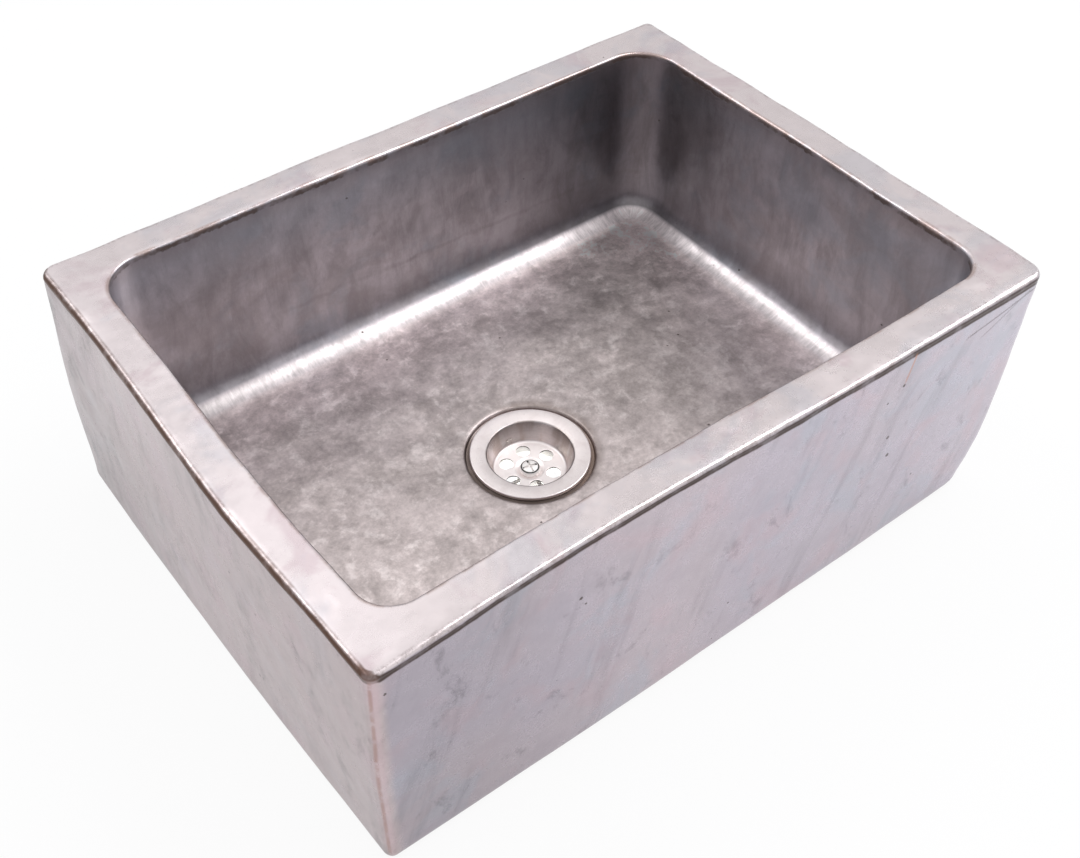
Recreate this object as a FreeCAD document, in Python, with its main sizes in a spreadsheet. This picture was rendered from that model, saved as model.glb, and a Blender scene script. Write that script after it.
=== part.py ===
import FreeCAD, Part
import os
import Sketcher

Vector = FreeCAD.Vector

# Farmhouse apron front sink: a slab-built stoneware box with a metallic glaze, and a centre-screw waste.
# +X runs along the apron, -Y faces the user, +Z is up. The origin is the middle of the base, on the worktop.

SIZES = {
    # Stoneware basin
    "sink_length": 424,
    "sink_width": 316,
    "bowl_depth": 120,
    "floor_thickness": 16,
    "recess_height": 20,
    "rim_width": 24,
    "foot_width": 32,
    "outer_corner_radius": 9,
    "bowl_corner_radius": 25,
    "bowl_cove_radius": 16,
    "rim_outer_radius": 4,
    "rim_inner_chamfer": 1.5,
    "base_edge_radius": 8,
    "recess_corner_radius": 15,
    # Where the waste stands, from the middle of the sink, and the dished floor that drains to it
    "waste_offset_x": -13,
    "waste_offset_y": -9,
    "floor_fall": 3,
    "fall_reach": 95,
    "seat_depth": 2.5,
    "seat_clearance": 3.5,
    "seat_edge_chamfer": 1.2,
    "cup_clearance": 0.8,
    # Pressed stainless flange with its strainer cup
    "cup_top_diameter": 52.8,
    "flange_width": 8.6,
    "sheet_thickness": 0.8,
    "hem_clearance": 0.3,
    "cup_bottom_diameter": 42.6,
    "cup_depth": 13.6,
    "lip_width": 2,
    "lip_depth": 2,
    "dimple_depth": 1.2,
    "dimple_slope_width": 1.9,
    "grid_hole_diameter": 8.4,
    "grid_circle_diameter": 28,
    "grid_hole_count": 6,
    "grid_turn": 9.5,
    # Clamp screw and its brass insert
    "screw_diameter": 6,
    "screw_clearance": 0.05,
    "screw_protrusion": 0.3,
    "head_diameter": 12,
    "head_height": 3.4,
    "head_clearance": 0.6,
    "head_edge_chamfer": 1.5,
    "drive_length": 7,
    "drive_slot_width": 1.3,
    "drive_depth": 1.9,
    "insert_width": 10,
    "insert_length": 8,
    "insert_clearance": 0.02,
    # Seals
    "flange_gasket_thickness": 1.5,
    "flange_gasket_inset": 0.7,
    "body_gasket_thickness": 2.5,
    "body_gasket_inset": 1,
    "gasket_setback": 0.8,
    # Moulded waste body with a 1 1/2 inch pipe thread outlet
    "body_flange_width": 8,
    "body_flange_thickness": 3,
    "funnel_width": 5,
    "funnel_height": 6,
    "outlet_thread_diameter": 47.8,
    "outlet_wall": 3.9,
    "outlet_ground_clearance": 2,
    "hub_diameter": 16,
    "hub_roof": 2.5,
    "hub_clearance": 0.9,
    "hub_way_clearance": 0.5,
    "web_count": 4,
    "web_thickness": 2.5,
    "web_drop": 2.2,
}

# Heights above the worktop, as formulas on the sheet
SLAB_UNDERSIDE = "Sizes.recess_height"
BOWL_FLOOR = f"({SLAB_UNDERSIDE} + Sizes.floor_thickness)"
RIM_TOP = f"({BOWL_FLOOR} + Sizes.bowl_depth)"
FALL_FLOOR = f"({BOWL_FLOOR} - Sizes.floor_fall)"
SEAT = f"({FALL_FLOOR} - Sizes.seat_depth)"
FLANGE_TOP = f"({SEAT} + Sizes.flange_gasket_thickness + Sizes.sheet_thickness)"
DIMPLE_FLOOR = f"({FLANGE_TOP} - Sizes.cup_depth - Sizes.dimple_depth)"
HUB_TOP = f"({DIMPLE_FLOOR} - Sizes.sheet_thickness - Sizes.hub_clearance)"
HUB_BASE = f"({HUB_TOP} - Sizes.hub_roof - Sizes.insert_length)"
BODY_TOP = f"({SLAB_UNDERSIDE} - Sizes.body_gasket_thickness)"

# Radii about the axis of the waste
FLANGE_RIM = "(Sizes.cup_top_diameter / 2 + Sizes.flange_width)"
SEAT_RADIUS = f"({FLANGE_RIM} + Sizes.seat_clearance)"
OUTLET_HOLE = "(Sizes.cup_top_diameter / 2 + Sizes.sheet_thickness + Sizes.cup_clearance)"
BODY_FLANGE = f"({OUTLET_HOLE} + Sizes.body_flange_width)"
OUTLET_BORE = "(Sizes.outlet_thread_diameter / 2 - Sizes.outlet_wall)"
SCREW_HOLE = "(Sizes.screw_diameter / 2 + Sizes.screw_clearance)"

# How far the corners of the lip's straight bend shift with the sheet, per millimetre of its thickness
LIP_MITRE = 0.31

# Tolerance in picking edges, and a full turn in degrees
NEAR = 1e-4
ROUND = 360


def make_document():
    """The document and its sheet of driving sizes."""
    document = FreeCAD.newDocument("apron_sink")
    sheet = document.addObject("Spreadsheet::Sheet", "Sizes")
    for row, (name, value) in enumerate(SIZES.items(), start=1):
        sheet.set(f"A{row}", name)
        sheet.set(f"B{row}", str(value))
        sheet.setAlias(f"B{row}", name)
    document.recompute()
    return document


doc = make_document()


def value(formula):
    """What a formula on the sheet comes to, in millimetres."""
    return float(doc.Sizes.evalExpression(formula))


def new_body(name, across="0", along="0", up="0"):
    """A sub-part, placed by three formulas."""
    body = doc.addObject("PartDesign::Body", name)
    body.Label = name
    body.setExpression(".Placement.Base.x", across)
    body.setExpression(".Placement.Base.y", along)
    body.setExpression(".Placement.Base.z", up)
    return body


def new_waste_body(name, up):
    """A sub-part on the axis of the outlet, with its own zero at the height that the formula gives."""
    return new_body(name, "Sizes.waste_offset_x", "Sizes.waste_offset_y", up)


def new_sketch(body, name, plane="XY_Plane", **offsets):
    """A sketch on one of the body's own origin planes, moved by formulas along the plane's own axes."""
    sketch = body.newObject("Sketcher::SketchObject", name)
    for feature in body.Origin.OriginFeatures:
        if feature.Role == plane:
            sketch.AttachmentSupport = [(feature, "")]
    sketch.MapMode = "FlatFace"
    for axis, formula in offsets.items():
        sketch.setExpression(f".AttachmentOffset.Base.{axis}", formula)
    doc.recompute()
    return sketch


def bind(sketch, kind, geometry, formula, name):
    """A dimension of the sketch that follows a formula."""
    sketch.addConstraint(Sketcher.Constraint(kind, *geometry, value(formula)))
    index = sketch.ConstraintCount - 1
    sketch.renameConstraint(index, name)
    sketch.setExpression(f"Constraints.{name}", formula)


def pin_point(sketch, line, across, up, name):
    """Ties the start of a line to two formulas, counted from the sketch's origin."""
    if abs(value(across)) < NEAR:
        sketch.addConstraint(Sketcher.Constraint("PointOnObject", line, 1, -2))
    else:
        bind(sketch, "DistanceX", (-1, 1, line, 1), across, f"{name}_across")
    if abs(value(up)) < NEAR:
        sketch.addConstraint(Sketcher.Constraint("PointOnObject", line, 1, -1))
    else:
        bind(sketch, "DistanceY", (-1, 1, line, 1), up, f"{name}_up")


def draw_profile(sketch, corners):
    """A closed outline of straight lines through corners that are given as pairs of formulas."""
    points = [Vector(value(across), value(up), 0) for across, up in corners]
    count = len(points)
    for number, start in enumerate(points):
        sketch.addGeometry(Part.LineSegment(start, points[(number + 1) % count]))
    for number in range(count):
        sketch.addConstraint(Sketcher.Constraint("Coincident", number, 2, (number + 1) % count, 1))
    for number, (across, up) in enumerate(corners):
        pin_point(sketch, number, across, up, f"corner{number}")
    doc.recompute()


def draw_rectangle(sketch, length, width):
    """A rectangle about the sketch's origin."""
    half_length = f"({length}) / 2"
    half_width = f"({width}) / 2"
    draw_profile(
        sketch,
        [
            (f"-{half_length}", f"-{half_width}"),
            (half_length, f"-{half_width}"),
            (half_length, half_width),
            (f"-{half_length}", half_width),
        ],
    )


def draw_circle(sketch, diameter, name, across="0", up="0"):
    """A circle whose centre is given by two formulas."""
    centre = Vector(value(across), value(up), 0)
    circle = sketch.addGeometry(Part.Circle(centre, Vector(0, 0, 1), value(diameter) / 2))
    bind(sketch, "Diameter", (circle,), diameter, f"{name}_diameter")
    if centre.Length < NEAR:
        sketch.addConstraint(Sketcher.Constraint("Coincident", circle, 3, -1, 1))
    else:
        bind(sketch, "DistanceX", (-1, 1, circle, 3), across, f"{name}_across")
        bind(sketch, "DistanceY", (-1, 1, circle, 3), up, f"{name}_up")
    doc.recompute()


def finish_feature(body, feature):
    """Makes the feature the body's latest state."""
    body.Tip = feature
    doc.recompute()
    return feature


def pad(body, sketch, name, length, reverse=False):
    feature = body.newObject("PartDesign::Pad", name)
    feature.Profile = sketch
    feature.setExpression("Length", length)
    feature.Reversed = reverse
    return finish_feature(body, feature)


def pocket(body, sketch, name, length, reverse=False):
    feature = body.newObject("PartDesign::Pocket", name)
    feature.Profile = sketch
    feature.setExpression("Length", length)
    feature.Reversed = reverse
    return finish_feature(body, feature)


def revolve(body, sketch, name, kind="PartDesign::Revolution"):
    """A revolution, or a groove, about the sketch's own vertical axis."""
    feature = body.newObject(kind, name)
    feature.Profile = sketch
    feature.ReferenceAxis = (sketch, ["V_Axis"])
    feature.Angle = ROUND
    return finish_feature(body, feature)


def repeat_around(body, feature, name, axis_sketch, count):
    """Copies of one feature around the normal through the sketch's origin."""
    pattern = body.newObject("PartDesign::PolarPattern", name)
    pattern.Originals = [feature]
    pattern.Axis = (axis_sketch, ["N_Axis"])
    pattern.Angle = ROUND
    pattern.setExpression("Occurrences", count)
    return finish_feature(body, pattern)


def round_edges(body, name, radius, chosen):
    """A fillet on the edges of the latest state that the test picks."""
    base = body.Tip
    edges = [f"Edge{n}" for n, edge in enumerate(base.Shape.Edges, start=1) if chosen(edge)]
    feature = body.newObject("PartDesign::Fillet", name)
    feature.Base = (base, edges)
    feature.setExpression("Radius", radius)
    return finish_feature(body, feature)


def bevel_edges(body, name, size, chosen):
    """A chamfer on the edges of the latest state that the test picks."""
    base = body.Tip
    edges = [f"Edge{n}" for n, edge in enumerate(base.Shape.Edges, start=1) if chosen(edge)]
    feature = body.newObject("PartDesign::Chamfer", name)
    feature.Base = (base, edges)
    feature.setExpression("Size", size)
    return finish_feature(body, feature)


def level(height, inside=None):
    """Picks edges that lie flat at a height, and within a rectangle about the middle if one is given."""
    top = value(height)

    def chosen(edge):
        box = edge.BoundBox
        if abs(box.ZMin - top) > NEAR or abs(box.ZMax - top) > NEAR:
            return False
        if inside is None:
            return True
        reach_x, reach_y = (value(formula) / 2 + NEAR for formula in inside)
        return max(abs(box.XMin), abs(box.XMax)) < reach_x and max(abs(box.YMin), abs(box.YMax)) < reach_y

    return chosen


def but_not(wanted, unwanted):
    """Picks the edges that the first test picks and the second doesn't."""

    def chosen(edge):
        return wanted(edge) and not unwanted(edge)

    return chosen


def upright(length, width):
    """Picks the vertical edges at the corners of a rectangle about the middle."""
    half_length, half_width = value(length) / 2, value(width) / 2

    def chosen(edge):
        box = edge.BoundBox
        return (
            box.XLength < NEAR
            and box.YLength < NEAR
            and abs(abs(box.XMin) - half_length) < NEAR
            and abs(abs(box.YMin) - half_width) < NEAR
        )

    return chosen


def make_basin():
    """The stoneware box: bowl with coved floor, dish and seat for the waste, and a hollow underside."""
    body = new_body("basin")
    outside = ("Sizes.sink_length", "Sizes.sink_width")
    bowl = ("Sizes.sink_length - 2 * Sizes.rim_width", "Sizes.sink_width - 2 * Sizes.rim_width")
    recess = ("Sizes.sink_length - 2 * Sizes.foot_width", "Sizes.sink_width - 2 * Sizes.foot_width")

    outline = new_sketch(body, "basin_outline")
    draw_rectangle(outline, *outside)
    pad(body, outline, "basin_block", RIM_TOP)
    round_edges(body, "basin_corners", "Sizes.outer_corner_radius", upright(*outside))

    mouth = new_sketch(body, "bowl_outline", z=RIM_TOP)
    draw_rectangle(mouth, *bowl)
    pocket(body, mouth, "bowl", "Sizes.bowl_depth")
    round_edges(body, "bowl_corners", "Sizes.bowl_corner_radius", upright(*bowl))
    round_edges(body, "bowl_cove", "Sizes.bowl_cove_radius", level(BOWL_FLOOR))

    underside = new_sketch(body, "recess_outline")
    draw_rectangle(underside, *recess)
    pocket(body, underside, "recess", SLAB_UNDERSIDE, reverse=True)
    round_edges(body, "recess_corners", "Sizes.recess_corner_radius", upright(*recess))

    cut_drain(body)

    inner_rim = level(RIM_TOP, inside=bowl)
    round_edges(body, "rim_outer_edge", "Sizes.rim_outer_radius", but_not(level(RIM_TOP), inner_rim))
    bevel_edges(body, "rim_inner_edge", "Sizes.rim_inner_chamfer", inner_rim)
    recess_edge = level("0", inside=recess)
    round_edges(body, "base_edge", "Sizes.base_edge_radius", but_not(level("0"), recess_edge))
    return body


def cut_drain(body):
    """The floor's fall to the waste, the seat sunk for the flange, and the hole through the floor."""
    drain = new_sketch(body, "drain_profile", "XZ_Plane", x="Sizes.waste_offset_x", z="-Sizes.waste_offset_y")
    draw_profile(
        drain,
        [
            ("0", BOWL_FLOOR),
            ("0", SLAB_UNDERSIDE),
            (OUTLET_HOLE, SLAB_UNDERSIDE),
            (OUTLET_HOLE, SEAT),
            (SEAT_RADIUS, SEAT),
            (SEAT_RADIUS, f"{FALL_FLOOR} - Sizes.seat_edge_chamfer"),
            (f"{SEAT_RADIUS} + Sizes.seat_edge_chamfer", FALL_FLOOR),
            ("Sizes.fall_reach", BOWL_FLOOR),
        ],
    )
    revolve(body, drain, "fall_seat_and_hole", "PartDesign::Groove")


def make_flange():
    """One stainless pressing: hemmed flange, rolled lip, tapered cup, and a dimpled strainer floor."""
    body = new_waste_body("waste_flange", FLANGE_TOP)
    sheet = "Sizes.sheet_thickness"
    hem = f"{SEAT} + Sizes.hem_clearance - {FLANGE_TOP}"
    top = "Sizes.cup_top_diameter / 2"
    bottom = "Sizes.cup_bottom_diameter / 2"
    taper = f"({top} - {bottom}) / Sizes.cup_depth"
    mitre = f"{LIP_MITRE} * {sheet}"
    lip_back = f"Sizes.lip_depth + {mitre}"
    dimple_foot = "(Sizes.head_diameter / 2 + Sizes.head_clearance)"
    dimple_top = f"{dimple_foot} + Sizes.dimple_slope_width"
    floor = "-Sizes.cup_depth"
    dimple = f"{DIMPLE_FLOOR} - {FLANGE_TOP}"

    upper_face = [
        (SCREW_HOLE, dimple),
        (dimple_foot, dimple),
        (dimple_top, floor),
        (bottom, floor),
        (f"{top} - {taper} * Sizes.lip_depth", "-Sizes.lip_depth"),
        (f"{top} + Sizes.lip_width", "0"),
        (FLANGE_RIM, "0"),
        (FLANGE_RIM, hem),
    ]
    lower_face = [
        (f"{FLANGE_RIM} - {sheet}", hem),
        (f"{FLANGE_RIM} - {sheet}", f"-{sheet}"),
        (f"{top} + Sizes.lip_width + {mitre}", f"-{sheet}"),
        (f"{top} + {sheet} - {taper} * ({lip_back} - {sheet})", f"-({lip_back})"),
        (f"{bottom} + {sheet}", f"{floor} - {sheet}"),
        (dimple_top, f"{floor} - {sheet}"),
        (dimple_foot, f"{dimple} - {sheet}"),
        (SCREW_HOLE, f"{dimple} - {sheet}"),
    ]
    section = new_sketch(body, "flange_section", "XZ_Plane")
    draw_profile(section, upper_face + lower_face)
    revolve(body, section, "pressing")

    hole = new_sketch(body, "grid_hole", z=floor)
    reach = "Sizes.grid_circle_diameter / 2"
    turn = "Sizes.grid_turn * 1deg"
    draw_circle(hole, "Sizes.grid_hole_diameter", "hole", f"{reach} * cos({turn})", f"{reach} * sin({turn})")
    first = pocket(body, hole, "first_grid_hole", f"2 * {sheet}")
    repeat_around(body, first, "grid_holes", hole, "Sizes.grid_hole_count")
    return body


def make_seal(name, up, inner_radius, outer_radius, thickness):
    """A flat rubber ring around the outlet."""
    body = new_waste_body(name, up)
    outline = new_sketch(body, f"{name}_outline")
    draw_circle(outline, f"2 * ({outer_radius})", "outer")
    draw_circle(outline, f"2 * ({inner_radius})", "inner")
    pad(body, outline, f"{name}_ring", thickness)
    return body


def make_screw():
    """The pan head screw that draws the flange and the waste body together, with a cross drive."""
    body = new_waste_body("clamp_screw", DIMPLE_FLOOR)
    shank = "Sizes.screw_diameter / 2"
    head = "Sizes.head_diameter / 2"
    edge = "Sizes.head_edge_chamfer"
    tip = f"{HUB_BASE} - Sizes.screw_protrusion - {DIMPLE_FLOOR}"
    section = new_sketch(body, "screw_section", "XZ_Plane")
    draw_profile(
        section,
        [
            ("0", tip),
            (shank, tip),
            (shank, "0"),
            (head, "0"),
            (head, f"Sizes.head_height - {edge}"),
            (f"{head} - {edge}", "Sizes.head_height"),
            ("0", "Sizes.head_height"),
        ],
    )
    revolve(body, section, "turned_screw")
    drive = new_sketch(body, "drive_slot", z="Sizes.head_height")
    draw_rectangle(drive, "Sizes.drive_length", "Sizes.drive_slot_width")
    slot = pocket(body, drive, "first_drive_slot", "Sizes.drive_depth")
    repeat_around(body, slot, "cross_drive", drive, "4")
    return body


def draw_hexagon(sketch, width):
    """A regular hexagon about the sketch's origin, with two flats along X, given its width across flats."""
    flat = f"({width}) / 2"
    corner = f"({width}) / sqrt(3)"
    draw_profile(
        sketch,
        [
            (corner, "0"),
            (f"{corner} / 2", flat),
            (f"-{corner} / 2", flat),
            (f"-{corner}", "0"),
            (f"-{corner} / 2", f"-{flat}"),
            (f"{corner} / 2", f"-{flat}"),
        ],
    )


def make_insert():
    """The long hexagonal brass nut that the screw draws up against the roof of the hub."""
    body = new_waste_body("screw_insert", HUB_BASE)
    outline = new_sketch(body, "insert_outline")
    draw_hexagon(outline, "Sizes.insert_width")
    draw_circle(outline, f"2 * {SCREW_HOLE}", "bore")
    pad(body, outline, "hexagonal_nut", "Sizes.insert_length")
    return body


def make_waste_body():
    """Moulded body under the floor: flange, funnel, threaded outlet, and a hub on webs for the insert."""
    body = new_waste_body("waste_body", BODY_TOP)
    flange_foot = "-Sizes.body_flange_thickness"
    end = f"Sizes.outlet_ground_clearance - {BODY_TOP}"
    thread = "Sizes.outlet_thread_diameter / 2"
    section = new_sketch(body, "body_section", "XZ_Plane")
    draw_profile(
        section,
        [
            (f"{OUTLET_BORE} + Sizes.funnel_width", "0"),
            (BODY_FLANGE, "0"),
            (BODY_FLANGE, flange_foot),
            (thread, flange_foot),
            (thread, end),
            (OUTLET_BORE, end),
            (OUTLET_BORE, "-Sizes.funnel_height"),
        ],
    )
    revolve(body, section, "body_shell")
    add_hub(body)
    return body


def add_hub(body):
    """The hub on webs across the outlet: a socket from below for the nut, and a way through for the screw."""
    hub_top = f"{HUB_TOP} - {BODY_TOP}"
    hub_base = f"{HUB_BASE} - {BODY_TOP}"
    web_top = f"{hub_top} - Sizes.web_drop"
    half_web = "Sizes.web_thickness / 2"
    web_reach = f"{OUTLET_BORE} + 0.75 * Sizes.outlet_wall"
    web = new_sketch(body, "web_outline", z=web_top)
    draw_profile(
        web,
        [("0", f"-{half_web}"), (web_reach, f"-{half_web}"), (web_reach, half_web), ("0", half_web)],
    )
    first_web = pad(body, web, "first_web", f"{web_top} - ({hub_base})", reverse=True)
    repeat_around(body, first_web, "webs", web, "Sizes.web_count")

    hub = new_sketch(body, "hub_outline", z=hub_top)
    draw_circle(hub, "Sizes.hub_diameter", "hub")
    pad(body, hub, "hub", f"{hub_top} - ({hub_base})", reverse=True)
    socket = new_sketch(body, "insert_socket_outline", z=hub_base)
    draw_hexagon(socket, "Sizes.insert_width + 2 * Sizes.insert_clearance")
    pocket(body, socket, "insert_socket", "Sizes.insert_length", reverse=True)
    way = new_sketch(body, "screw_way_outline", z=hub_top)
    draw_circle(way, "Sizes.screw_diameter + 2 * Sizes.hub_way_clearance", "way")
    pocket(body, way, "screw_way", "Sizes.hub_roof")


def check(parts):
    """Stops if a feature failed or a sub-part is not a sound solid."""
    failed = [item.Name for item in doc.Objects if {"Invalid", "Error"} & set(item.State)]
    if failed:
        raise RuntimeError(f"failed features: {failed}")
    for part in parts:
        shape = part.Shape
        if shape.isNull() or not shape.isValid() or len(shape.Solids) != 1:
            raise RuntimeError(f"{part.Label} is not one sound solid")


def export(parts):
    """Writes each sub-part to a file of its own name."""
    os.makedirs("parts", exist_ok=True)
    for part in parts:
        part.Shape.exportStep(f"parts/{part.Label}.step")
        box = part.Shape.optimalBoundingBox()
        size = f"{box.XLength:.1f} x {box.YLength:.1f} x {box.ZLength:.1f} mm"
        print(f"{part.Label}: {size}, foot at {box.ZMin:.2f}, volume {part.Shape.Volume / 1000:.2f} cm3")


def main():
    flange_gasket = make_seal(
        "flange_gasket",
        SEAT,
        f"{OUTLET_HOLE} + Sizes.gasket_setback",
        f"{FLANGE_RIM} - Sizes.sheet_thickness - Sizes.flange_gasket_inset",
        "Sizes.flange_gasket_thickness",
    )
    body_gasket = make_seal(
        "body_gasket",
        BODY_TOP,
        f"{OUTLET_HOLE} + Sizes.gasket_setback",
        f"{BODY_FLANGE} - Sizes.body_gasket_inset",
        "Sizes.body_gasket_thickness",
    )
    made = [make_basin(), make_flange(), make_screw(), make_insert(), make_waste_body()]
    parts = [*made, flange_gasket, body_gasket]
    doc.recompute()
    check(parts)
    export(parts)


main()
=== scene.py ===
import math

import bmesh
import bpy
import numpy as np
from mathutils import Matrix, Vector


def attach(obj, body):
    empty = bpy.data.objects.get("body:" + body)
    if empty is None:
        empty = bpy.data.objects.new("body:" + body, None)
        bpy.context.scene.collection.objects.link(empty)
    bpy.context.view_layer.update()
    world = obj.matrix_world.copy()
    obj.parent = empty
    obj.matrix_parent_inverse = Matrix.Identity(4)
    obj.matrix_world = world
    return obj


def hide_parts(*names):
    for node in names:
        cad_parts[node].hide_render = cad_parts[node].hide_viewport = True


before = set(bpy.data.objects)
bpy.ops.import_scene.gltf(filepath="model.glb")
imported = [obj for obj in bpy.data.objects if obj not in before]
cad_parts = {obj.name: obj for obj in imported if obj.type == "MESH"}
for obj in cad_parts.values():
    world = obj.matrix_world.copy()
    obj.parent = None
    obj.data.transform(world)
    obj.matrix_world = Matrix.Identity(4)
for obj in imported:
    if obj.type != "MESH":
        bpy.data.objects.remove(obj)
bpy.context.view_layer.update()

# ---------------------------------------------------------------------------------------------------------------------
# Viewpoint
# The camera stands above the front left corner and looks down into the bowl, turned a little off level.
# ---------------------------------------------------------------------------------------------------------------------

viewpoint = Vector((-0.3445, -0.4310, 0.6111))
view_azimuth = math.radians(-38.71)
view_elevation = math.radians(46.17)
view_roll = math.radians(1.41)

bpy.ops.object.select_all(action="DESELECT")
bpy.ops.object.camera_add()
camera = bpy.context.object
camera.name = "camera"
camera.data.sensor_width = 36
camera.data.lens = 45.94
camera.data.clip_start = 0.01
camera.matrix_world = (
    Matrix.Translation(viewpoint)
    @ Matrix.Rotation(view_azimuth, 4, "Z")
    @ Matrix.Rotation(math.pi / 2 - view_elevation, 4, "X")
    @ Matrix.Rotation(view_roll, 4, "Z")
)
bpy.context.scene.camera = camera
bpy.context.scene.view_settings.view_transform = "Standard"

# ---------------------------------------------------------------------------------------------------------------------
# Basin
# A box of stoneware slabs, joined and smoothed by hand, dished round the waste and fired with a metallic glaze.
# The walls bow a little, the rim is sponged round, and the glaze breaks brown along the arrises.
# ---------------------------------------------------------------------------------------------------------------------

MM = 0.001
RING_POINTS = 360
LONG_SIDE_PARTS = 92
SHORT_SIDE_PARTS = 64
CORNER_PARTS = 12

half_length = 210 * MM
half_width = 156 * MM
rim_height = 155.5 * MM
rim_width = 22 * MM
corner_radii = {(-1, -1): 5 * MM, (1, -1): 9 * MM, (1, 1): 5 * MM, (-1, 1): 9 * MM}
bowl_corner_radii = {(-1, -1): 18 * MM, (1, -1): 18 * MM, (1, 1): 25 * MM, (-1, 1): 25 * MM}
least_corner_radius = 0.6 * MM
least_bowl_radius = 12 * MM
bowl_floor = 36 * MM
cove_reach = 21 * MM
cove_height = 16 * MM
foot_width = 30 * MM
recess_height = 20 * MM
recess_corner_radius = 15 * MM
waste_centre = (-13 * MM, -9 * MM)
fall_reach = 95 * MM
fall_floor = 33 * MM
seat_height = 30.5 * MM
seat_radius = 37.1 * MM
seat_shift = (-0.6 * MM, -0.75 * MM)
outlet_radius = 28 * MM


def edit_mesh_of(piece):
    """The mesh that is open in edit mode, with its tables ready."""
    mesh = bmesh.from_edit_mesh(piece.data)
    mesh.verts.ensure_lookup_table()
    return mesh


def pick_points(piece, wanted):
    """Selects the points whose place passes the test, and nothing else."""
    mesh = edit_mesh_of(piece)
    bpy.ops.mesh.select_mode(type="VERT")
    for point in mesh.verts:
        point.select_set(wanted(point.co))
    mesh.select_flush(True)
    bmesh.update_edit_mesh(piece.data)


def pick_edges(piece, wanted):
    """Selects the edges whose two ends pass the test, and nothing else."""
    mesh = edit_mesh_of(piece)
    bpy.ops.mesh.select_mode(type="EDGE")
    for face in mesh.faces:
        face.select_set(False)
    for edge in mesh.edges:
        edge.select_set(wanted(edge.verts[0].co, edge.verts[1].co))
    bmesh.update_edit_mesh(piece.data)


def outline_distance(place, outline):
    """How far a place is from a rounded rectangle or a circle, seen from above."""
    if outline["kind"] == "circle":
        return math.hypot(place.x - waste_centre[0], place.y - waste_centre[1]) - outline["radius"]
    side = (1 if place.x > 0 else -1, 1 if place.y > 0 else -1)
    radius = outline["radii"][side]
    across = abs(place.x) - (outline["length"] - radius)
    along = abs(place.y) - (outline["width"] - radius)
    return math.hypot(max(across, 0), max(along, 0)) + min(max(across, along), 0) - radius


def on_ring(place, ring):
    return abs(place.z - ring["height"]) < 1e-6 and abs(outline_distance(place, ring)) < 2e-5


def lay_circle(radius, height):
    """A ring round the waste, as wide as the radius, at a height."""
    bpy.ops.mesh.primitive_circle_add(
        vertices=RING_POINTS, radius=radius, fill_type="NOTHING", location=(*waste_centre, height)
    )
    return {"kind": "circle", "radius": radius, "height": height}


def lay_rectangle(piece, length, width, radii, height):
    """A ring with rounded corners about the middle of the sink, given half its length and width."""
    if not isinstance(radii, dict):
        radii = {side: radii for side in corner_radii}
    bpy.ops.mesh.primitive_plane_add(size=2, location=(0, 0, height))
    bpy.ops.transform.resize(value=(length, width, 1), center_override=(0, 0, height))
    for side, radius in radii.items():
        corner = Vector((side[0] * length, side[1] * width, height))
        pick_points(piece, lambda place: (place - corner).length < 1e-6)
        bpy.ops.mesh.bevel(
            offset_type="OFFSET", offset=radius, segments=CORNER_PARTS, profile=0.5,
            affect="VERTICES", clamp_overlap=False,
        )
    ring = {"kind": "rectangle", "length": length, "width": width, "radii": radii, "height": height}
    mesh = edit_mesh_of(piece)
    bpy.ops.mesh.select_mode(type="FACE")
    for face in mesh.faces:
        face.select_set(len(face.verts) > 4)
    bmesh.update_edit_mesh(piece.data)
    bpy.ops.mesh.delete(type="ONLY_FACE")
    longest = 0.4 * length
    for cuts, along_x in ((LONG_SIDE_PARTS - 1, True), (SHORT_SIDE_PARTS - 1, False)):
        pick_edges(
            piece,
            lambda one, two: on_ring(one, ring) and on_ring(two, ring)
            and (one - two).length > longest and (abs(one.y - two.y) < 1e-6) == along_x,
        )
        bpy.ops.mesh.subdivide(number_cuts=cuts)
    return ring


def bridge(piece, ring, next_ring, cuts=0):
    """Faces from one ring to the next, with further rings spaced evenly between them."""
    pick_edges(
        piece,
        lambda one, two: (on_ring(one, ring) and on_ring(two, ring))
        or (on_ring(one, next_ring) and on_ring(two, next_ring)),
    )
    bpy.ops.mesh.bridge_edge_loops(type="SINGLE", number_cuts=cuts, interpolation="LINEAR")


def quarter_round(parts):
    """Shares of a quarter turn: how far across and how far up, from one tangent to the other."""
    return [
        (math.sin(math.pi / 2 * part / parts), 1 - math.cos(math.pi / 2 * part / parts))
        for part in range(parts + 1)
    ]


bpy.ops.object.select_all(action="DESELECT")
bpy.ops.mesh.primitive_circle_add(vertices=RING_POINTS, radius=outlet_radius, fill_type="NOTHING",
                                  location=(*waste_centre, recess_height))
basin = bpy.context.object
basin.name = "stoneware_basin"
basin.data.name = "stoneware_basin"
bpy.ops.object.transform_apply(location=True, rotation=True, scale=True)
bpy.ops.object.mode_set(mode="EDIT")

# Outlet hole, seat and fall, from the underside up and outwards
rings = [({"kind": "circle", "radius": outlet_radius, "height": recess_height}, 0)]
hole_edge = 1.2 * MM
for radius, height, cuts in (
    (outlet_radius, seat_height - hole_edge, 2),
    (outlet_radius + 0.3 * hole_edge, seat_height - 0.3 * hole_edge, 0),
    (outlet_radius + hole_edge, seat_height, 0),
    (seat_radius - 0.5 * MM, seat_height + 0.02 * MM, 2),
    (seat_radius, seat_height + 0.5 * MM, 0),
    (seat_radius + 0.1 * MM, fall_floor - 1.3 * MM, 0),
    (seat_radius + 0.6 * MM, fall_floor - 0.5 * MM, 0),
    (seat_radius + 1.6 * MM, fall_floor + 0.02 * MM, 0),
    (seat_radius + 3.4 * MM, fall_floor + 0.12 * MM, 0),
    (fall_reach, bowl_floor - 0.1 * MM, 12),
):
    rings.append((lay_circle(radius, height), cuts))

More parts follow.
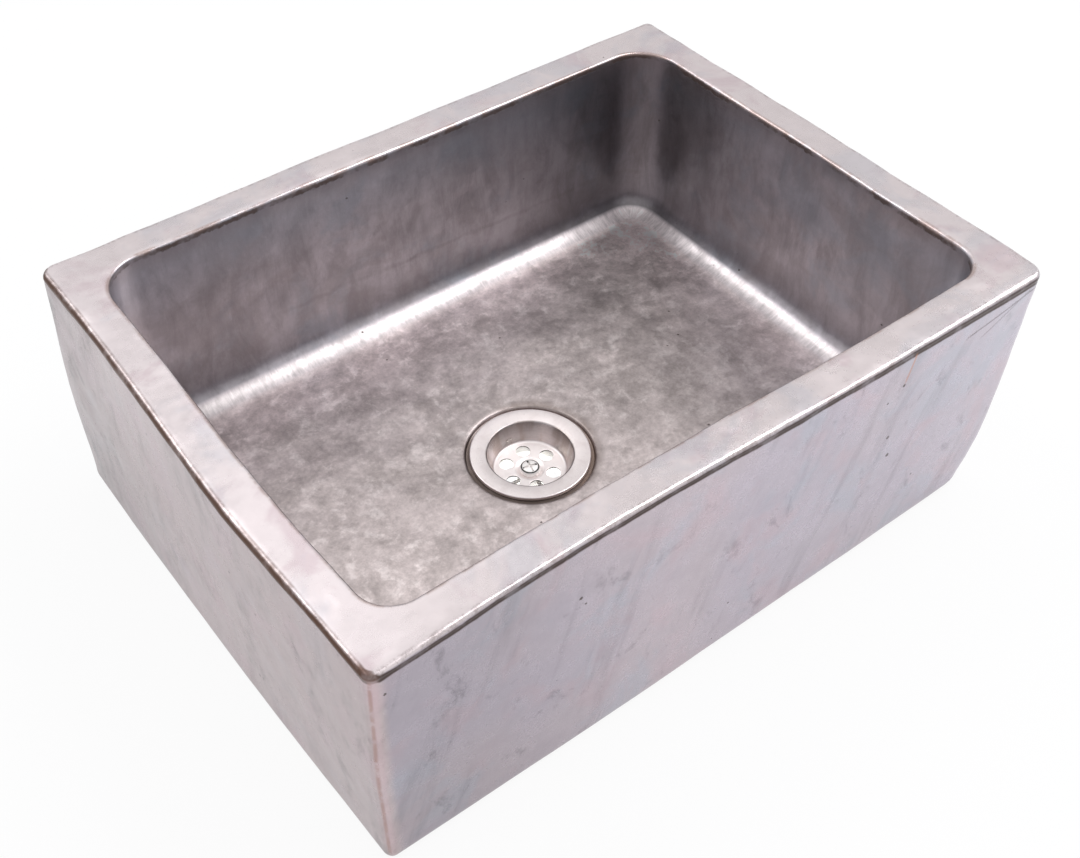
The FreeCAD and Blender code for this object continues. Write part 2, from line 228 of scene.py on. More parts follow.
# Bowl floor, cove and wall
bowl_length = half_length - rim_width
bowl_width = half_width - rim_width
for run, rise in quarter_round(9):
    inset = cove_reach * (1 - run)
    radii = {side: max(radius - inset, least_bowl_radius) for side, radius in bowl_corner_radii.items()}
    height = bowl_floor + cove_height * rise
    ring = lay_rectangle(basin, bowl_length - inset, bowl_width - inset, radii, height)
    rings.append((ring, 17 if rise == 0 else 0))

# Inner arris, rim and outer arris
inner_arris = 2.2 * MM
for run, rise in quarter_round(4):
    inset = inner_arris * rise
    radii = {side: radius + inset for side, radius in bowl_corner_radii.items()}
    height = rim_height - inner_arris * (1 - run)
    ring = lay_rectangle(basin, bowl_length + inset, bowl_width + inset, radii, height)
    rings.append((ring, 21 if rise == 0 else 0))
outer_arris = 2.8 * MM
rim_fall = 0.3 * MM
for part, (run, rise) in enumerate(quarter_round(5)):
    inset = outer_arris * (1 - run)
    radii = {side: max(radius - inset, least_corner_radius) for side, radius in corner_radii.items()}
    height = rim_height - rim_fall - outer_arris * rise
    ring = lay_rectangle(basin, half_length - inset, half_width - inset, radii, height)
    rings.append((ring, 4 if part == 0 else 0))

# A shallow crease where the lip of the rim was rolled over the wall
for inset, depth in (
    (0.05 * MM, 0.5 * MM),
    (0.20 * MM, 1.2 * MM),
    (0.18 * MM, 2.0 * MM),
    (0.05 * MM, 4.0 * MM),
):
    radii = {side: radius - inset for side, radius in corner_radii.items()}
    height = rim_height - rim_fall - outer_arris - depth
    rings.append((lay_rectangle(basin, half_length - inset, half_width - inset, radii, height), 0))

# Outer wall, rounded base, foot and the hollow underside. The front right corner was scraped back at its foot.
base_round = 7 * MM
scraped_corner = (1, -1)
for height, scraped, cuts in ((50 * MM, 10 * MM, 20), (33 * MM, 13 * MM, 2), (20 * MM, 18 * MM, 2)):
    radii = {**corner_radii, scraped_corner: scraped}
    rings.append((lay_rectangle(basin, half_length, half_width, radii, height), cuts))
foot_radii = {**corner_radii, scraped_corner: 26 * MM}
for part, (run, rise) in enumerate(quarter_round(6)):
    inset = base_round * rise
    radii = {side: max(radius - inset, least_corner_radius) for side, radius in foot_radii.items()}
    ring = lay_rectangle(basin, half_length - inset, half_width - inset, radii, base_round * (1 - run))
    rings.append((ring, 2 if part == 0 else 0))
recess_length = half_length - foot_width
recess_width = half_width - foot_width
for inset, height, cuts in (
    (-1.5 * MM, 0.02 * MM, 4),
    (-0.4 * MM, 0.4 * MM, 0),
    (0, 1.5 * MM, 0),
    (0, recess_height - 5 * MM, 3),
    (0.7 * MM, recess_height - 2.2 * MM, 0),
    (2.2 * MM, recess_height - 0.7 * MM, 0),
    (5 * MM, recess_height + 0.05 * MM, 0),
):
    ring = lay_rectangle(
        basin, recess_length - inset, recess_width - inset, recess_corner_radius - inset, height
    )
    rings.append((ring, cuts))
for (ring, _), (next_ring, cuts) in zip(rings, rings[1:]):
    bridge(basin, ring, next_ring, cuts)
bridge(basin, rings[-1][0], rings[0][0], 16)
bpy.ops.mesh.select_all(action="SELECT")
bpy.ops.mesh.normals_make_consistent(inside=False)

# The seat was cut by hand, a little off the middle of the outlet
seat_edge = {"kind": "circle", "radius": seat_radius}
pick_points(basin, lambda spot: spot.z > seat_height - 1e-6 and abs(outline_distance(spot, seat_edge)) < 2 * MM)
bpy.ops.transform.translate(value=(*seat_shift, 0))
bpy.ops.object.mode_set(mode="OBJECT")

# The true shape is kept beside the bowed one, so that the glaze can follow the edges
places = np.empty(3 * len(basin.data.vertices), dtype=np.float32)
basin.data.vertices.foreach_get("co", places)
true_places = basin.data.attributes.new("true_place", "FLOAT_VECTOR", "POINT")
true_places.data.foreach_set("vector", places)

# Bows of the four walls, in millimetres outwards: a row each along the top, the middle and the foot of the wall
front_bow = (
    (1.6, -0.8, -2.3, -0.6, 0.9, 1.6, 1.4),
    (0.6, 0.2, 0.2, 0.8, 1.2, 1.2, 0.8),
    (0.2, 1.0, 1.6, 1.5, 1.3, 1.0, 0.2),
)
back_bow = (
    (-1.2, -0.4, 0.0, -0.9, 0.6, 1.1, 1.5),
    (1.6, 0.6, 0.4, 0.2, 0.6, 0.9, 0.8),
    (0.8, 0.8, 1.0, 0.8, 0.6, 0.8, 0.6),
)
left_bow = (
    (-1.5, 0.0, 1.6, 0.6, -1.5, -2.5, -2.2),
    (-0.6, 0.0, 1.0, 1.0, 0.8, 1.0, 1.6),
    (-2.0, -0.5, 0.8, 1.4, 1.6, 1.5, 0.8),
)
right_bow = (
    (1.4, 1.5, 0.6, 1.4, 0.3, -0.6, -1.6),
    (1.2, 0.8, 0.6, 0.8, 0.4, 0.0, -0.6),
    (0.2, 0.2, 0.6, 0.8, 0.5, 0.2, 0.0),
)
rim_lift = (-0.3, 0.2, -0.25, 0.1, -0.4, 0.25, -0.2)


def shape_by(piece, name, kind, **settings):
    """Gives the piece a modifier with these settings and applies it."""
    bpy.ops.object.select_all(action="DESELECT")
    piece.select_set(True)
    bpy.context.view_layer.objects.active = piece
    modifier = piece.modifiers.new(name, kind)
    for setting, value in settings.items():
        setattr(modifier, setting, value)
    bpy.ops.object.modifier_apply(modifier=name)


bpy.ops.object.select_all(action="DESELECT")
bpy.ops.object.add(type="LATTICE", location=(0, 0, rim_height / 2))
cage = bpy.context.object
cage.scale = (2 * half_length, 2 * half_width, rim_height)
cage.data.points_u = 7
cage.data.points_v = 7
cage.data.points_w = 3
cage.data.interpolation_type_u = "KEY_CATMULL_ROM"
cage.data.interpolation_type_v = "KEY_CATMULL_ROM"
cage.data.interpolation_type_w = "KEY_LINEAR"
for number, point in enumerate(cage.data.points):
    column, row, level = number % 7, number // 7 % 7, number // 49
    shift = Vector((0, 0, 0))
    if row == 0:
        shift.y -= front_bow[2 - level][column]
    if row == 6:
        shift.y += back_bow[2 - level][column]
    if column == 0:
        shift.x -= left_bow[2 - level][row]
    if column == 6:
        shift.x += right_bow[2 - level][row]
    if level == 2:
        shift.z += rim_lift[(column + 2 * row) % 7]
    point.co_deform = point.co_deform + Vector(
        (shift.x * MM / cage.scale.x, shift.y * MM / cage.scale.y, shift.z * MM / cage.scale.z)
    )
shape_by(basin, "bows", "LATTICE", object=cage)
bpy.data.objects.remove(cage)

# Unevenness of the clay, none where the waste seats or at the foot
turned_true = 45 * MM
turned_fade = 25 * MM
foot_fade = 12 * MM
hand_work = basin.vertex_groups.new(name="hand_work")
for point in basin.data.vertices:
    from_waste = math.hypot(point.co.x - waste_centre[0], point.co.y - waste_centre[1])
    round_waste = min(max((from_waste - turned_true) / turned_fade, 0), 1)
    above_foot = min(max(point.co.z / foot_fade, 0), 1)
    hand_work.add([point.index], round_waste * above_foot, "REPLACE")
for name, size, strength in (("palm", 75 * MM, 1.5 * MM), ("thumb", 22 * MM, 0.75 * MM)):
    swell = bpy.data.textures.new(name, "CLOUDS")
    swell.noise_scale = size
    swell.noise_depth = 1
    shape_by(
        basin, name, "DISPLACE", texture=swell, texture_coords="LOCAL", vertex_group="hand_work",
        mid_level=0.62, strength=strength,
    )
    bpy.data.textures.remove(swell)
basin.vertex_groups.clear()
bpy.ops.object.shade_smooth()


class Finish:
    """A socket in a material, on which sums of Python become Math nodes. Other nodes come from make()."""

    def __init__(self, material, socket=None):
        self.material = material
        self.socket = socket

    def make(self, kind, settings, sockets, output=0):
        """A node of that kind. Its settings are set first, then its sockets get values or links."""
        node = self.material.node_tree.nodes.new(kind)
        for name, value in settings.items():
            setattr(node, name, value)
        for name, value in sockets.items():
            if isinstance(value, Finish):
                self.material.node_tree.links.new(value.socket, node.inputs[name])
            else:
                node.inputs[name].default_value = value
        return Finish(self.material, node.outputs[output])

    def object_place(self):
        """Where a point of the piece is, in metres."""
        return self.make("ShaderNodeTexCoord", {}, {}, "Object")

    def sum(self, operation, one, two=0.0):
        return self.make("ShaderNodeMath", {"operation": operation}, {0: one, 1: two})

    def __add__(self, other):
        return self.sum("ADD", self, other)

    def __radd__(self, other):
        return self.sum("ADD", other, self)

    def __sub__(self, other):
        return self.sum("SUBTRACT", self, other)

    def __rsub__(self, other):
        return self.sum("SUBTRACT", other, self)

    def __mul__(self, other):
        return self.sum("MULTIPLY", self, other)

    def __rmul__(self, other):
        return self.sum("MULTIPLY", other, self)

    def __abs__(self):
        return self.sum("ABSOLUTE", self)

    def larger(self, other):
        return self.sum("MAXIMUM", self, other)

    def smaller(self, other):
        return self.sum("MINIMUM", self, other)

    def power(self, other):
        return self.sum("POWER", self, other)

    def part(self, number):
        """One of the three parts of a place, counted from 0."""
        return self.make("ShaderNodeSeparateXYZ", {}, {0: self}, number)

    def stretched(self, size, shift=(0, 0, 0)):
        """The place, stretched by three factors, so that a pattern on it is drawn out."""
        return self.make("ShaderNodeMapping", {}, {"Vector": self, "Scale": size, "Location": shift})

    def cloud(self, scale, detail=3.0, roughness=0.55, distortion=0.0):
        """Soft noise on the place, from 0 to 1. The scale is in waves per metre."""
        return self.make(
            "ShaderNodeTexNoise",
            {"noise_dimensions": "3D"},
            {"Vector": self, "Scale": scale, "Detail": detail, "Roughness": roughness, "Distortion": distortion},
        )

    def between(self, low, high, start=0.0, end=1.0):
        """Goes smoothly from start to end as the value goes from low to high."""
        return self.make(
            "ShaderNodeMapRange",
            {"interpolation_type": "SMOOTHSTEP"},
            {0: self, 1: low, 2: high, 3: start, 4: end},
        )

    def tint(self, one, two):
        """A colour that goes from one to two as the value goes from 0 to 1."""
        one, two = (colour if isinstance(colour, Finish) else (*colour, 1) for colour in (one, two))
        return self.make("ShaderNodeMix", {"data_type": "RGBA"}, {0: self, 6: one, 7: two}, 2)

    def shaded(self, factor):
        """The colour, made lighter or darker by a factor."""
        return self.make("ShaderNodeVectorMath", {"operation": "SCALE"}, {0: self, "Scale": factor})

    def feed(self, name):
        """Drives that socket of the material's shader."""
        shader = self.material.node_tree.nodes["Principled BSDF"]
        self.material.node_tree.links.new(self.socket, shader.inputs[name])

    def bump(self, strength, distance):
        """Drives the shader's normal with the value as a height."""
        heights = {"Height": self, "Strength": strength, "Distance": distance}
        self.make("ShaderNodeBump", {}, heights).feed("Normal")


def new_finish(name, constants):
    """A material whose shader sockets are set to the constants, and a start for its maths."""
    material = bpy.data.materials.new(name)
    material.use_nodes = True
    shader = material.node_tree.nodes["Principled BSDF"]
    for socket, value in constants.items():
        shader.inputs[socket].default_value = value
    return Finish(material)


glaze = new_finish("metallic_glaze", {"Coat Weight": 0.15, "Coat Roughness": 0.08})
place = glaze.object_place()
true_place = glaze.make("ShaderNodeAttribute", {"attribute_name": "true_place"}, {}, "Vector")
across, along, up = (true_place.part(number) for number in range(3))


def wall_distance(length, width, radius):
    """How far outside a rounded rectangle the true place is, in metres."""
    over_x = abs(across) - length + radius
    over_y = abs(along) - width + radius
    out_x = over_x.larger(0.0)
    out_y = over_y.larger(0.0)
    outside = (out_x * out_x + out_y * out_y).power(0.5)
    return outside + over_x.larger(over_y).smaller(0.0) - radius


# Where on the basin a place is
from_outside = wall_distance(half_length, half_width, 7 * MM)
from_bowl = wall_distance(bowl_length, bowl_width, along.between(-20 * MM, 20 * MM, 18 * MM, 25 * MM))
from_waste_x = across - waste_centre[0]
from_waste_y = along - waste_centre[1]
from_waste = (from_waste_x * from_waste_x + from_waste_y * from_waste_y).power(0.5)
in_bowl = from_bowl.between(1.2 * MM, 0)
above_floor = up - bowl_floor
floor_share = in_bowl * above_floor.between(2.5 * MM, 0.5 * MM)
cove_share = in_bowl * above_floor.between(0.2 * MM, 1.8 * MM) * above_floor.between(6.5 * MM, 4 * MM)
wall_share = in_bowl * above_floor.between(4 * MM, 6.5 * MM)
rim_share = up.between(rim_height - 2.2 * MM, rim_height - 1.2 * MM) * (1 - in_bowl)
face_share = from_outside.between(-1.5 * MM, -0.5 * MM) * up.between(rim_height - 2 * MM, rim_height - 4 * MM)

# Drifts, clouds, mottling and grain, from the size of a hand down to that of a grain of sand
drift = place.cloud(8, 2, 0.5, 0.4)
cloudy = place.cloud(27, 5, 0.66, 0.5)
rosy = place.stretched((1, 1, 1), (7.7, 2.9, 6.1)).cloud(24, 4, 0.62, 0.5).between(0.5, 0.66)
bluish = place.stretched((1, 1, 1), (4.4, 9.1, 1.3)).cloud(21, 4, 0.62, 0.5).between(0.5, 0.66)
mottle = place.stretched((1, 1, 1), (0.3, 5.2, 2.2)).cloud(95, 6, 0.72, 0.3)
patchy = place.stretched((1, 1, 1), (2.3, 0.2, 8.2)).cloud(40, 7, 0.78, 0.15)
grain = place.cloud(430, 4, 0.72)
streak = place.stretched((62, 62, 20), (1.2, 0.2, 0.9)).cloud(1, 6, 0.7, 0.4)
brushed = place.stretched((520, 520, 60), (2.1, 7.4, 0.5)).cloud(1, 3, 0.6)

left_share = from_outside.between(-2 * MM, 0) * across.between(-200 * MM, -205 * MM)
skin = drift.between(0.4, 0.62).tint((0.565, 0.497, 0.535), (0.54, 0.49, 0.55))
skin = left_share.tint(skin, (0.56, 0.475, 0.48))
rim_skin = across.between(-170 * MM, -195 * MM).tint((0.73, 0.655, 0.665), (0.80, 0.72, 0.735))
skin = rim_share.tint(skin, rim_skin)
skin = (rosy * (0.3 + face_share * 0.15 + rim_share * 0.2)).tint(skin, (0.60, 0.47, 0.51))
skin = (bluish * (0.3 + face_share * 0.15 - left_share * 0.3)).tint(skin, (0.48, 0.51, 0.58))
bowl_floor_colour = patchy.between(0.38, 0.64).tint((0.59, 0.515, 0.51), (0.42, 0.365, 0.358))
bowl_floor_colour = (mottle.between(0.5, 0.66) * 0.5).tint(bowl_floor_colour, (0.68, 0.62, 0.615))
# The floor is lightened towards the back and right coves, the front and the far corner, and darkened right of the
# waste: painted light and painted shade.
near_back_or_right = along.between(20 * MM, 90 * MM).larger(across.between(120 * MM, 170 * MM) * 0.6)
painted_cove_light = from_bowl.between(-62 * MM, -20 * MM) * near_back_or_right
painted_front_light = along.between(20 * MM, -90 * MM) * across.between(60 * MM, -100 * MM)
painted_far_floor_light = across.between(90 * MM, 180 * MM) * along.between(20 * MM, 110 * MM)
painted_right_shade = across.between(20 * MM, 110 * MM) * along.between(60 * MM, -10 * MM)
bowl_floor_colour = bowl_floor_colour.shaded(
    1 + painted_cove_light * 0.45 + painted_front_light * 0.25 + painted_far_floor_light * 0.6 - painted_right_shade * 0.2
)
bowl_wall_colour = streak.between(0.36, 0.68).tint((0.54, 0.505, 0.545), (0.38, 0.35, 0.375))
bowl_wall_colour = (bluish * 0.45).tint(bowl_wall_colour, (0.37, 0.41, 0.475))
bowl_wall_colour = (cloudy.between(0.45, 0.65) * 0.5).tint(bowl_wall_colour, (0.345, 0.305, 0.316))
wall_top = up.between(100 * MM, 150 * MM) * drift.between(0.35, 0.55)
bowl_wall_colour = (wall_top * 0.4).tint(bowl_wall_colour, (0.36, 0.42, 0.50))
# The walls darken towards the far corner, across the middle of the back wall and at the foot of its left end: painted
# shade.
painted_corner_shade = across.between(70 * MM, 180 * MM) * along.between(0, 120 * MM)
back_wall = along.between(100 * MM, 130 * MM)
painted_back_shade = back_wall * across.between(-40 * MM, 60 * MM) * across.between(182 * MM, 162 * MM)
painted_back_foot_shade = back_wall * across.between(-60 * MM, -150 * MM) * up.between(85 * MM, 55 * MM)
bowl_wall_colour = bowl_wall_colour.shaded(1 - painted_corner_shade * 0.42 - painted_back_shade * 0.2 - painted_back_foot_shade * 0.3)
painted_front_left_shade = face_share * (1 - left_share) * across.between(-40 * MM, -170 * MM)
smudge = place.stretched((1, 1, 0.55), (6.3, 1.1, 4.0)).cloud(44, 6, 0.72).between(0.48, 0.7)
smudge = smudge * left_share * drift.between(0.36, 0.56, 0.25, 1.0)
lean = glaze.make("ShaderNodeCombineXYZ", {}, {0: across * 70 - up * 22, 1: across * 3 + up * 8, 2: along * 60})
wiped = lean.cloud(1, 5, 0.6, 0.2).between(0.5, 0.72)
blotch = place.stretched((1, 1, 0.7), (0.7, 3.1, 7.7)).cloud(52, 5, 0.7, 0.3).between(0.56, 0.7)
# The left face darkens towards its back end and the front face towards its left end: painted shade.
skin = skin.shaded(
    1 - left_share * along.between(20 * MM, 150 * MM) * 0.3 - smudge * 0.22 - painted_front_left_shade * 0.2
    - (wiped * 0.14 + blotch * 0.22) * face_share
)
colour = floor_share.tint(skin, bowl_floor_colour)
colour = wall_share.tint(colour, bowl_wall_colour)
by_right_wall = (across - half_length - along + half_width).between(-4 * MM, 4 * MM)
along_cove = across + by_right_wall * (along - across)
bristles = glaze.make("ShaderNodeCombineXYZ", {}, {0: along_cove * 300, 1: up * 110, 2: by_right_wall * 9})
bristles = bristles.cloud(1, 6, 0.75, 0.4)
cove_corner = across.between(115 * MM, 170 * MM) * along.between(65 * MM, 115 * MM)
# The cove band is lighter than floor and wall, and lighter still towards the far corner: painted highlight.
cove_highlight_colour = bristles.between(0.3, 0.7).tint((0.74, 0.68, 0.69), (0.47, 0.43, 0.435))
cove_highlight_colour = cove_highlight_colour.shaded(1 + painted_far_floor_light * 0.5)
colour = cove_share.tint(colour, cove_highlight_colour)
rough_share = 0.6 - rim_share * 0.3 + floor_share * 1.2
fine_share = 0.35 - face_share.larger(rim_share) * 0.2
unevenness = 1 + ((cloudy - 0.5) * 0.35 + (mottle - 0.5) * 0.45 + (grain - 0.5) * fine_share) * rough_share
colour = colour.shaded(unevenness)

# Brown where the glaze runs off the arrises: below the lip outside, and along the top of the bowl's wall. The line
# below the lip is also painted shade in the crease there, nearly black along the front.
wander = (place.cloud(60, 4, 0.7) - 0.5) * (1.6 * MM)
ragged = (place.cloud(230, 4, 0.75) - 0.5) * (4.5 * MM)
below_lip = rim_height - rim_fall - outer_arris - up
left_edge = across.between(-203 * MM, -206 * MM)
at_near_left = across.between(-196 * MM, -206 * MM) * along.between(-142 * MM, -152 * MM)
lip_breadth = across.between(-60 * MM, 170 * MM, 1.0, 1.35) + left_edge * 0.1 + at_near_left * 0.6
lip_line = abs(below_lip - 0.9 * MM + left_edge * (1.7 * MM) + wander * 0.7) - lip_breadth * (1.3 * MM)
lip_line = lip_line.between(1.1 * MM, -0.2 * MM)
lip_line = lip_line * from_outside.between(-4 * MM, -3 * MM) * place.cloud(75, 4, 0.6).between(0.3, 0.5, 0.72, 1.0)
left_arris = left_edge * below_lip.between(0, -1 * MM) * (1 - rim_share)
below_edge = rim_height - inner_arris - up
edge_line = abs(below_edge - 0.5 * MM + wander + ragged).between(2.0 * MM, 0.9 * MM) * in_bowl
edge_line = edge_line * place.cloud(38, 4, 0.65).between(0.38, 0.56)
near_edge = in_bowl * below_edge.between(14 * MM, 1 * MM)
colour = (near_edge * 0.35).tint(colour, (0.30, 0.245, 0.25))
colour = (edge_line * 0.85).tint(colour, (0.095, 0.06, 0.05))
arris_wear = from_outside.between(-4 * MM, -2.6 * MM) * below_lip.between(0.5 * MM, -0.3 * MM)
arris_wear = arris_wear * place.cloud(190, 5, 0.78).between(0.46, 0.6)
colour = (arris_wear * 0.55).tint(colour, (0.36, 0.30, 0.30))
colour = (left_arris * 0.7).tint(colour, (0.40, 0.31, 0.29))
seam = abs(up - 73 * MM + across * 0.035 + wander * 5 + ragged * 0.5).between(2.5 * MM, 0.4 * MM)
seam = seam * wall_share * along.between(120 * MM, 128 * MM) * across.between(-110 * MM, -60 * MM)
seam = seam * place.cloud(30, 3).between(0.35, 0.5)
colour = (seam * 0.17).tint(colour, (0.16, 0.135, 0.13))
# The line below the lip: brown glaze, and painted shade in the crease, nearly black along the front.
colour = (lip_line * 0.95).tint(colour, left_edge.tint((0.045, 0.020, 0.012), (0.10, 0.047, 0.028)))
inner_line = from_bowl.between(3.2 * MM, 1.6 * MM) * from_bowl.between(-1 * MM, 0.6 * MM)
inner_line = inner_line * up.between(rim_height - 3 * MM, rim_height - 1 * MM)
inner_line = inner_line * place.cloud(60, 4, 0.7).between(0.4, 0.6)
colour = (inner_line * 0.55).tint(colour, (0.36, 0.24, 0.20))

# The upright corners are worn to a reddish line, with a rosy band beside it
corner_gap = (half_length - abs(across)) - (half_width - abs(along)) + wander * 0.8
at_corner = (abs(across) - half_length).smaller(abs(along) - half_width) + 9 * MM
at_corner = at_corner.between(0, 2 * MM) * face_share
corner_line = abs(corner_gap).between(2.2 * MM, 0.3 * MM) * at_corner * place.cloud(45, 5, 0.7).between(0.36, 0.5)
corner_blush = abs(corner_gap - 2 * MM).between(4.5 * MM, 1 * MM) * at_corner
colour = (corner_blush * 0.4).tint(colour, (0.60, 0.44, 0.46))
colour = (corner_line * 0.55).tint(colour, (0.33, 0.18, 0.14))

# A brown stain creeps out from the seat of the waste, painted shadow lies in the gap round its near side, and a turned
# tool scored an arc
to_back_right = (0.625, 0.78)
stain = from_waste.between(seat_radius + 7 * MM, seat_radius + 0.5 * MM) * floor_share
stain = stain * (cloudy.between(0.35, 0.6) * 0.3 + from_waste_x.between(-10 * MM, 30 * MM) * 0.3)
colour = stain.tint(colour, (0.17, 0.125, 0.105))
seat_x, seat_y = from_waste_x - seat_shift[0], from_waste_y - seat_shift[1]
from_seat = (seat_x * seat_x + seat_y * seat_y).power(0.5)
seat_gap_shade = from_seat.between(seat_radius + 2.0 * MM + ragged * 0.2, seat_radius + 0.4 * MM)
seat_gap_shade = seat_gap_shade * up.between(60 * MM, 50 * MM)
seat_gap_shade = seat_gap_shade * (seat_x * to_back_right[0] + seat_y * to_back_right[1]).between(30 * MM, 4 * MM)
seat_gap_shade = seat_gap_shade * up.between(fall_floor + 0.1 * MM, fall_floor - 1.3 * MM, 0.3, 1.0)
seat_gap_shade_colour = seat_x.between(-10 * MM, 25 * MM).tint((0.09, 0.066, 0.058), (0.22, 0.155, 0.125))
colour = (seat_gap_shade * 0.75).tint(colour, seat_gap_shade_colour)
score = abs(from_waste - 49 * MM).between(0.6 * MM, 0.2 * MM) * abs(from_waste_x).between(15 * MM, 9 * MM)
score = score * from_waste_y.between(0, -10 * MM) * floor_share
colour = (score * 0.5).tint(colour, (0.62, 0.56, 0.54))


def spot_on_front(spot_x, spot_z, size):
    """A soft round spot on the apron front, given in millimetres."""
    aside = across - spot_x * MM
    above = up - spot_z * MM
    spread = (aside * aside + above * above).power(0.5)
    return spread.between(size * MM, 0.45 * size * MM) * face_share * along.between(-120 * MM, -140 * MM)


def line_on_front(start, end, breadth):
    """A thin straight line on the apron front, given in millimetres."""
    run_x, run_z = end[0] - start[0], end[1] - start[1]
    length = math.hypot(run_x, run_z)
    aside = (across - start[0] * MM) * (run_z / length) - (up - start[1] * MM) * (run_x / length) + wander * 0.5
    reach = (across - start[0] * MM) * (run_x / length) + (up - start[1] * MM) * (run_z / length)
    line = abs(aside).between(breadth * MM, 0.3 * breadth * MM)
    line = line * reach.between(0, 3 * MM) * reach.between(length * MM, (length - 6) * MM)
    return line * face_share * along.between(-120 * MM, -140 * MM)


# Pinholes, a run of rusty glaze and drying cracks on the apron front
pinholes = spot_on_front(-97, 117, 1.3)
for spot_x, spot_z, size in (
    (-94, 111, 0.8),
    (107.6, 93.5, 1.3),
    (111.3, 78, 1.5),
    (108.5, 131, 1.2),
    (-202, 139.5, 1),
):
    pinholes = pinholes.larger(spot_on_front(spot_x, spot_z, size))
cracks = line_on_front((206, 148), (150, 138), 0.8)
cracks = cracks.larger(line_on_front((200, 149), (164, 131), 0.7) * 0.7)
colour = (line_on_front((112.5, 152), (108.5, 130), 1.1) * 0.6).tint(colour, (0.55, 0.27, 0.17))
colour = (cracks * 0.6).tint(colour, (0.20, 0.16, 0.17))
pits = place.make("ShaderNodeTexVoronoi", {"feature": "F1"}, {"Vector": place, "Scale": 70, "Randomness": 1})
pits = pits.between(0.06, 0.035) * place.cloud(20, 1).between(0.54, 0.58)
pinholes = pinholes.larger(pits * 0.8)
colour = (pinholes * 0.9).tint(colour, (0.075, 0.05, 0.04))

# The foot and the hollow underside are bare fired clay
hollow = from_outside.between(-28 * MM, -29 * MM) * up.between(31 * MM, 29 * MM)
bare = up.between(2.6 * MM, 1.2 * MM).larger(hollow)
clay = mottle.between(0.3, 0.7).tint((0.50, 0.38, 0.29), (0.36, 0.26, 0.195))
colour = bare.tint(colour, clay)
colour.feed("Base Color")
((0.95 - pinholes.larger(edge_line * 0.5) * 0.5) * (1 - bare)).feed("Metallic")
shine = 0.25 + (cloudy - 0.5) * 0.16 + ((mottle - 0.5) * 0.22 + (grain - 0.5) * 0.15) * (1 - rim_share * 0.6)
shine = shine + floor_share * 0.16 + cove_share * (0.1 + cove_corner * 0.2) + wall_share * 0.17
shine = shine + rim_share * 0.03 + bare * 0.5 + edge_line.larger(lip_line) * 0.15
shine.feed("Roughness")
relief = (
    place.cloud(40, 2, 0.5) * (0.9 * MM)
    + place.cloud(90, 2, 0.45) * (1 - face_share * 0.7) * (0.22 * MM)
    + place.cloud(260, 2, 0.45) * (1 - face_share.larger(rim_share) * 0.85) * (0.045 * MM)
    + place.cloud(900, 1) * (1 - rim_share * 0.7) * (0.007 * MM)
    + brushed * (1 - floor_share.larger(face_share * 0.6).larger(rim_share * 0.9)) * (0.035 * MM)
    + bristles * cove_share * (0.14 * MM)
    - pinholes * (0.4 * MM)
    - cracks * (0.25 * MM)
)
relief.bump(1, 1)
basin.data.materials.append(glaze.material)

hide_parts("basin")
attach(basin, "root")

# ---------------------------------------------------------------------------------------------------------------------
# Waste flange
# One stainless steel pressing: a hemmed flange, a rolled lip and a tapered cup whose floor is punched as a strainer.
# It was turned while it was polished, so its marks run round it.
# ---------------------------------------------------------------------------------------------------------------------

hem_foot = 30.9 * MM
flange_top = 32.8 * MM
strainer_top = 19.2 * MM
dimple_top = 18.0 * MM
flange_radius = 35.0 * MM
cup_top_radius = 25.0 * MM
cup_top = flange_top - 0.5 * MM
cup_floor_radius = 21.3 * MM
dimple_rim_radius = 8.5 * MM
dimple_radius = 6.6 * MM
screw_hole_radius = 3.05 * MM
steel_thickness = 0.8 * MM
strainer_holes = 6
strainer_hole_radius = 4.2 * MM
strainer_circle_radius = 14 * MM
strainer_turn = math.radians(9.5)


def turn_profile(name, profile, points=128):
    """A ring drawn up or down through pairs of radius and height about the outlet, as on a lathe."""
    bpy.ops.object.select_all(action="DESELECT")
    bpy.ops.mesh.primitive_circle_add(
        vertices=points, radius=profile[0][0], fill_type="NOTHING", location=(*waste_centre, profile[0][1])
    )
    piece = bpy.context.object
    piece.name = name
    piece.data.name = name
    bpy.ops.object.transform_apply(location=True, rotation=True, scale=True)
    bpy.ops.object.mode_set(mode="EDIT")
    bpy.ops.mesh.select_all(action="SELECT")
    for (radius, height), (next_radius, next_height) in zip(profile, profile[1:]):
        bpy.ops.mesh.extrude_region_move(TRANSFORM_OT_translate={"value": (0, 0, next_height - height)})
        share = next_radius / radius
        bpy.ops.transform.resize(value=(share, share, 1), center_override=(*waste_centre, next_height))
    return piece


def round_ring(piece, radius, height, width, parts):
    """Rounds the edge that runs round the outlet at that radius and height."""

    def on_edge(place):
        reach = math.hypot(place.x - waste_centre[0], place.y - waste_centre[1])
        return abs(reach - radius) < 2e-5 and abs(place.z - height) < 2e-5

    pick_edges(piece, lambda one, two: on_edge(one) and on_edge(two))
    bpy.ops.mesh.bevel(offset_type="OFFSET", offset=width, segments=parts, profile=0.5, affect="EDGES",
                       clamp_overlap=False)


